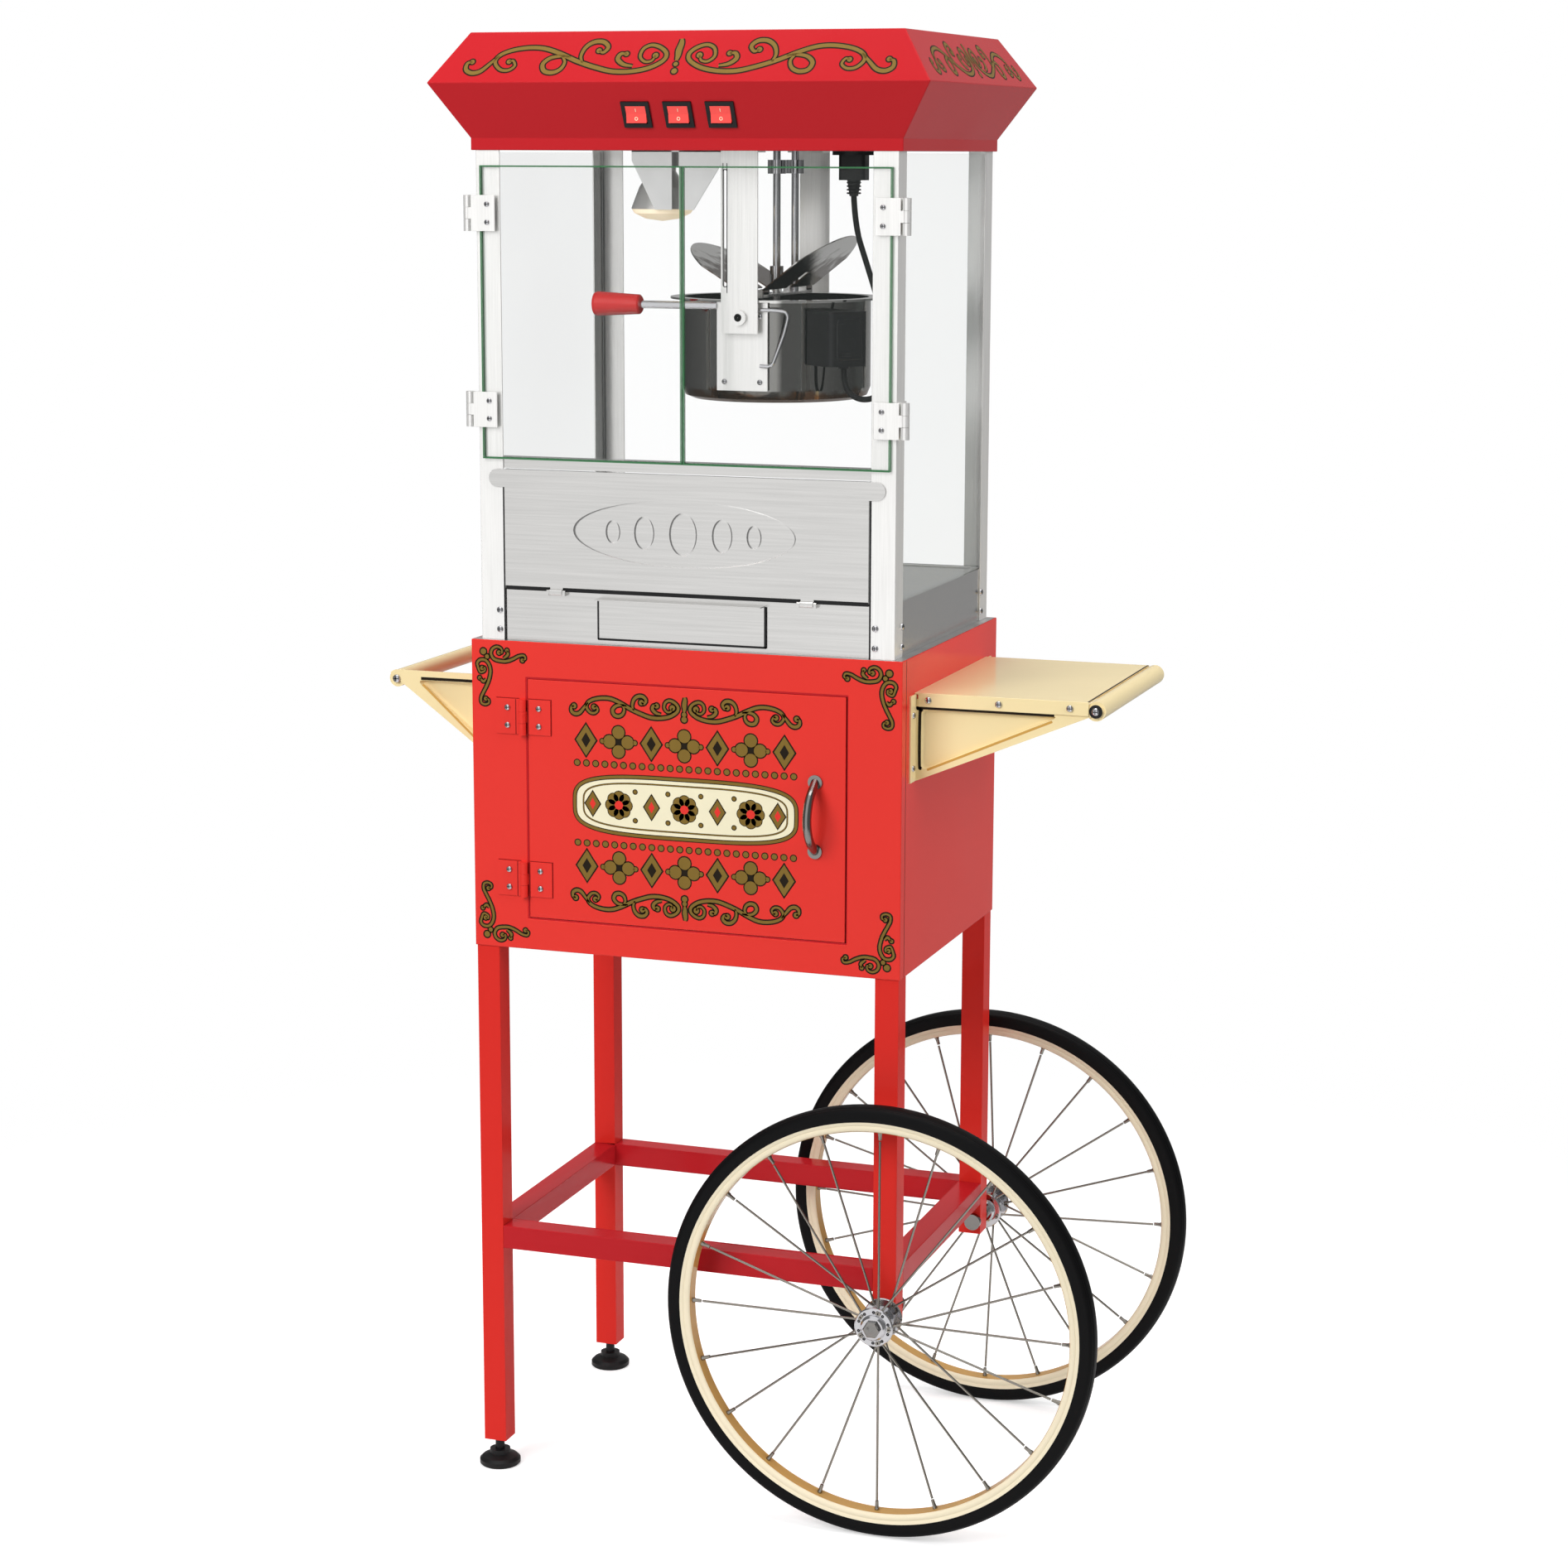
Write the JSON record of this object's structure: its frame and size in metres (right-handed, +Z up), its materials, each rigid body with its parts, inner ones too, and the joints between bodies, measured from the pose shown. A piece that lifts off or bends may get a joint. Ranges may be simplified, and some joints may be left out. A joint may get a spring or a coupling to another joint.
{
  "type": "popcorn cart",
  "caption": "Floor-standing popcorn cart with a glass cabinet, tilting kettle, storage box, side shelf, push handle and spoked wheels.",
  "frame": {"origin": "on the floor, under the middle of the bounding box", "axes": "+Z up, +Y to the back, so the glass doors face -Y, +X to the right, where the wheels and the shelf are"},
  "size_m": [0.8021, 0.461, 1.518],
  "materials": {
    "red_enamel": "gloss",
    "cream_enamel": "gloss",
    "stainless": "brushed",
    "galvanised": "satin",
    "clear_glass": "polished",
    "bright_steel": "polished",
    "black_plastic": "matt",
    "red_plastic": "gloss",
    "black_rubber": "matt",
    "tyre_rubber": "matt",
    "warm_glass": "frosted",
    "dark_steel": "stained",
    "gold_print": "satin"
  },
  "bodies": {
    "cart": {"cart_shell": "red_enamel", "cart_decks": "galvanised", "legs": "red_enamel", "stretchers": "red_enamel", "cart_hinge_fixed_leaves": "red_enamel", "axles": "bright_steel", "shelf_sheet": "cream_enamel", "side_bars": "cream_enamel", "side_brackets": "cream_enamel", "corner_posts": "stainless", "base_pan": "stainless", "fixed_glass": "clear_glass", "deck_plate": "stainless", "front_panels": "stainless", "glass_hinge_fixed_leaves": "stainless", "roof_canopy": "red_enamel", "cord_gland": "black_plastic", "ceiling_panel": "stainless", "switch_bezels": "black_plastic", "kettle_hangers": "stainless", "drive_motor": "galvanised", "steady_rod": "bright_steel", "lid_crossbar": "stainless", "kettle_outlet": "black_plastic", "kettle_plug": "black_plastic", "kettle_cord": "black_rubber", "lamp_bracket": "galvanised", "lamp_bulb": "warm_glass"},
    "left_glass_door": {"glass_door_left": "clear_glass", "glass_door_left_leaves": "stainless"},
    "right_glass_door": {"glass_door_right": "clear_glass", "glass_door_right_leaves": "stainless"},
    "serving_flap": {"drop_front": "stainless"},
    "drawer": {"kernel_drawer": "stainless"},
    "kettle": {"kettle_pot": "stainless", "kettle_side_plates": "stainless", "kettle_handle_rod": "bright_steel", "kettle_grip": "red_plastic", "kettle_hook": "bright_steel", "kettle_heater_box": "black_plastic"},
    "left_lid": {"kettle_lid_left": "dark_steel"},
    "right_lid": {"kettle_lid_right": "dark_steel"},
    "stirring_blade": {"stirrer": "stainless"},
    "drive": {"drive_shaft": "bright_steel"},
    "front_wheel": {"tyre_front": "tyre_rubber", "rim_front": "cream_enamel", "spokes_front": "bright_steel", "hub_front": "bright_steel"},
    "back_wheel": {"tyre_back": "tyre_rubber", "rim_back": "cream_enamel", "spokes_back": "bright_steel", "hub_back": "bright_steel"},
    "storage_door": {"cart_door": "red_enamel", "cart_door_leaves": "red_enamel", "cart_door_handle": "bright_steel"},
    "left_rocker": {"switch_rocker_left": "red_plastic"},
    "middle_rocker": {"switch_rocker_middle": "red_plastic"},
    "right_rocker": {"switch_rocker_right": "red_plastic"},
    "front_foot": {"foot_front": "black_plastic"},
    "back_foot": {"foot_back": "black_plastic"}
  },
  "joints": [
    {"name": "left_glass_door_swing", "type": "hinge", "parent": "cart", "child": "left_glass_door", "pos_m": [-0.28385, -0.168, 1.24], "axis": [0, 0, -1], "range_deg": [0, 110]},
    {"name": "right_glass_door_swing", "type": "hinge", "parent": "cart", "child": "right_glass_door", "pos_m": [0.18075, -0.168, 1.24], "axis": [0, 0, 1], "range_deg": [0, 110]},
    {"name": "serving_flap_drop", "type": "hinge", "parent": "cart", "child": "serving_flap", "pos_m": [-0.05155, -0.169, 0.957], "axis": [1, 0, 0], "range_deg": [0, 90]},
    {"name": "drawer_slide", "type": "slide", "parent": "cart", "child": "drawer", "axis": [0, -1, 0], "range_m": [0, 0.18]},
    {"name": "kettle_tilt", "type": "hinge", "parent": "cart", "child": "kettle", "pos_m": [-0.01155, 0, 1.237], "axis": [0, -1, 0], "range_deg": [0, 60], "deforming": ["kettle_cord"]},
    {"name": "left_lid_swing", "type": "hinge", "parent": "cart", "child": "left_lid", "pos_m": [-0.02155, 0, 1.261], "axis": [0, 1, 0], "range_deg": [-31, 50]},
    {"name": "right_lid_swing", "type": "hinge", "parent": "cart", "child": "right_lid", "pos_m": [-0.00155, 0, 1.261], "axis": [0, -1, 0], "range_deg": [0, 52]},
    {"name": "drive_spin", "type": "hinge", "parent": "cart", "child": "drive", "pos_m": [-0.01155, 0, 1.3], "axis": [0, 0, 1], "continuous": true},
    {"name": "stirrer_spin", "type": "hinge", "parent": "kettle", "child": "stirring_blade", "pos_m": [-0.01155, 0, 1.2], "axis": [0, 0, 1], "continuous": true},
    {"name": "front_wheel_roll", "type": "hinge", "parent": "cart", "child": "front_wheel", "pos_m": [0.17245, -0.2037, 0.2286], "axis": [0, 1, 0], "continuous": true},
    {"name": "back_wheel_roll", "type": "hinge", "parent": "cart", "child": "back_wheel", "pos_m": [0.17245, 0.2037, 0.2286], "axis": [0, 1, 0], "continuous": true},
    {"name": "storage_door_swing", "type": "hinge", "parent": "cart", "child": "storage_door", "pos_m": [-0.22705, -0.1768, 0.74], "axis": [0, 0, -1], "range_deg": [0, 110]},
    {"name": "left_rocker_tip", "type": "hinge", "parent": "cart", "child": "left_rocker", "pos_m": [-0.09475, -0.17853, 1.43811], "axis": [1, 0, 0], "range_deg": [0, 20]},
    {"name": "middle_rocker_tip", "type": "hinge", "parent": "cart", "child": "middle_rocker", "pos_m": [-0.05035, -0.17853, 1.43811], "axis": [1, 0, 0], "range_deg": [0, 20]},
    {"name": "right_rocker_tip", "type": "hinge", "parent": "cart", "child": "right_rocker", "pos_m": [-0.00595, -0.17853, 1.43811], "axis": [1, 0, 0], "range_deg": [0, 20]},
    {"name": "front_foot_screw", "type": "hinge", "parent": "cart", "child": "front_foot", "pos_m": [-0.27105, -0.1585, 0.02], "axis": [0, 0, 1], "continuous": true},
    {"name": "back_foot_screw", "type": "hinge", "parent": "cart", "child": "back_foot", "pos_m": [-0.27105, 0.1585, 0.02], "axis": [0, 0, 1], "continuous": true}
  ],
  "couplings": [
    {"joint": "drive_spin", "follows": "stirrer_spin", "ratio": 1},
    {"joint": "right_lid_swing", "follows": "kettle_tilt", "ratio": 0.86667}
  ]
}
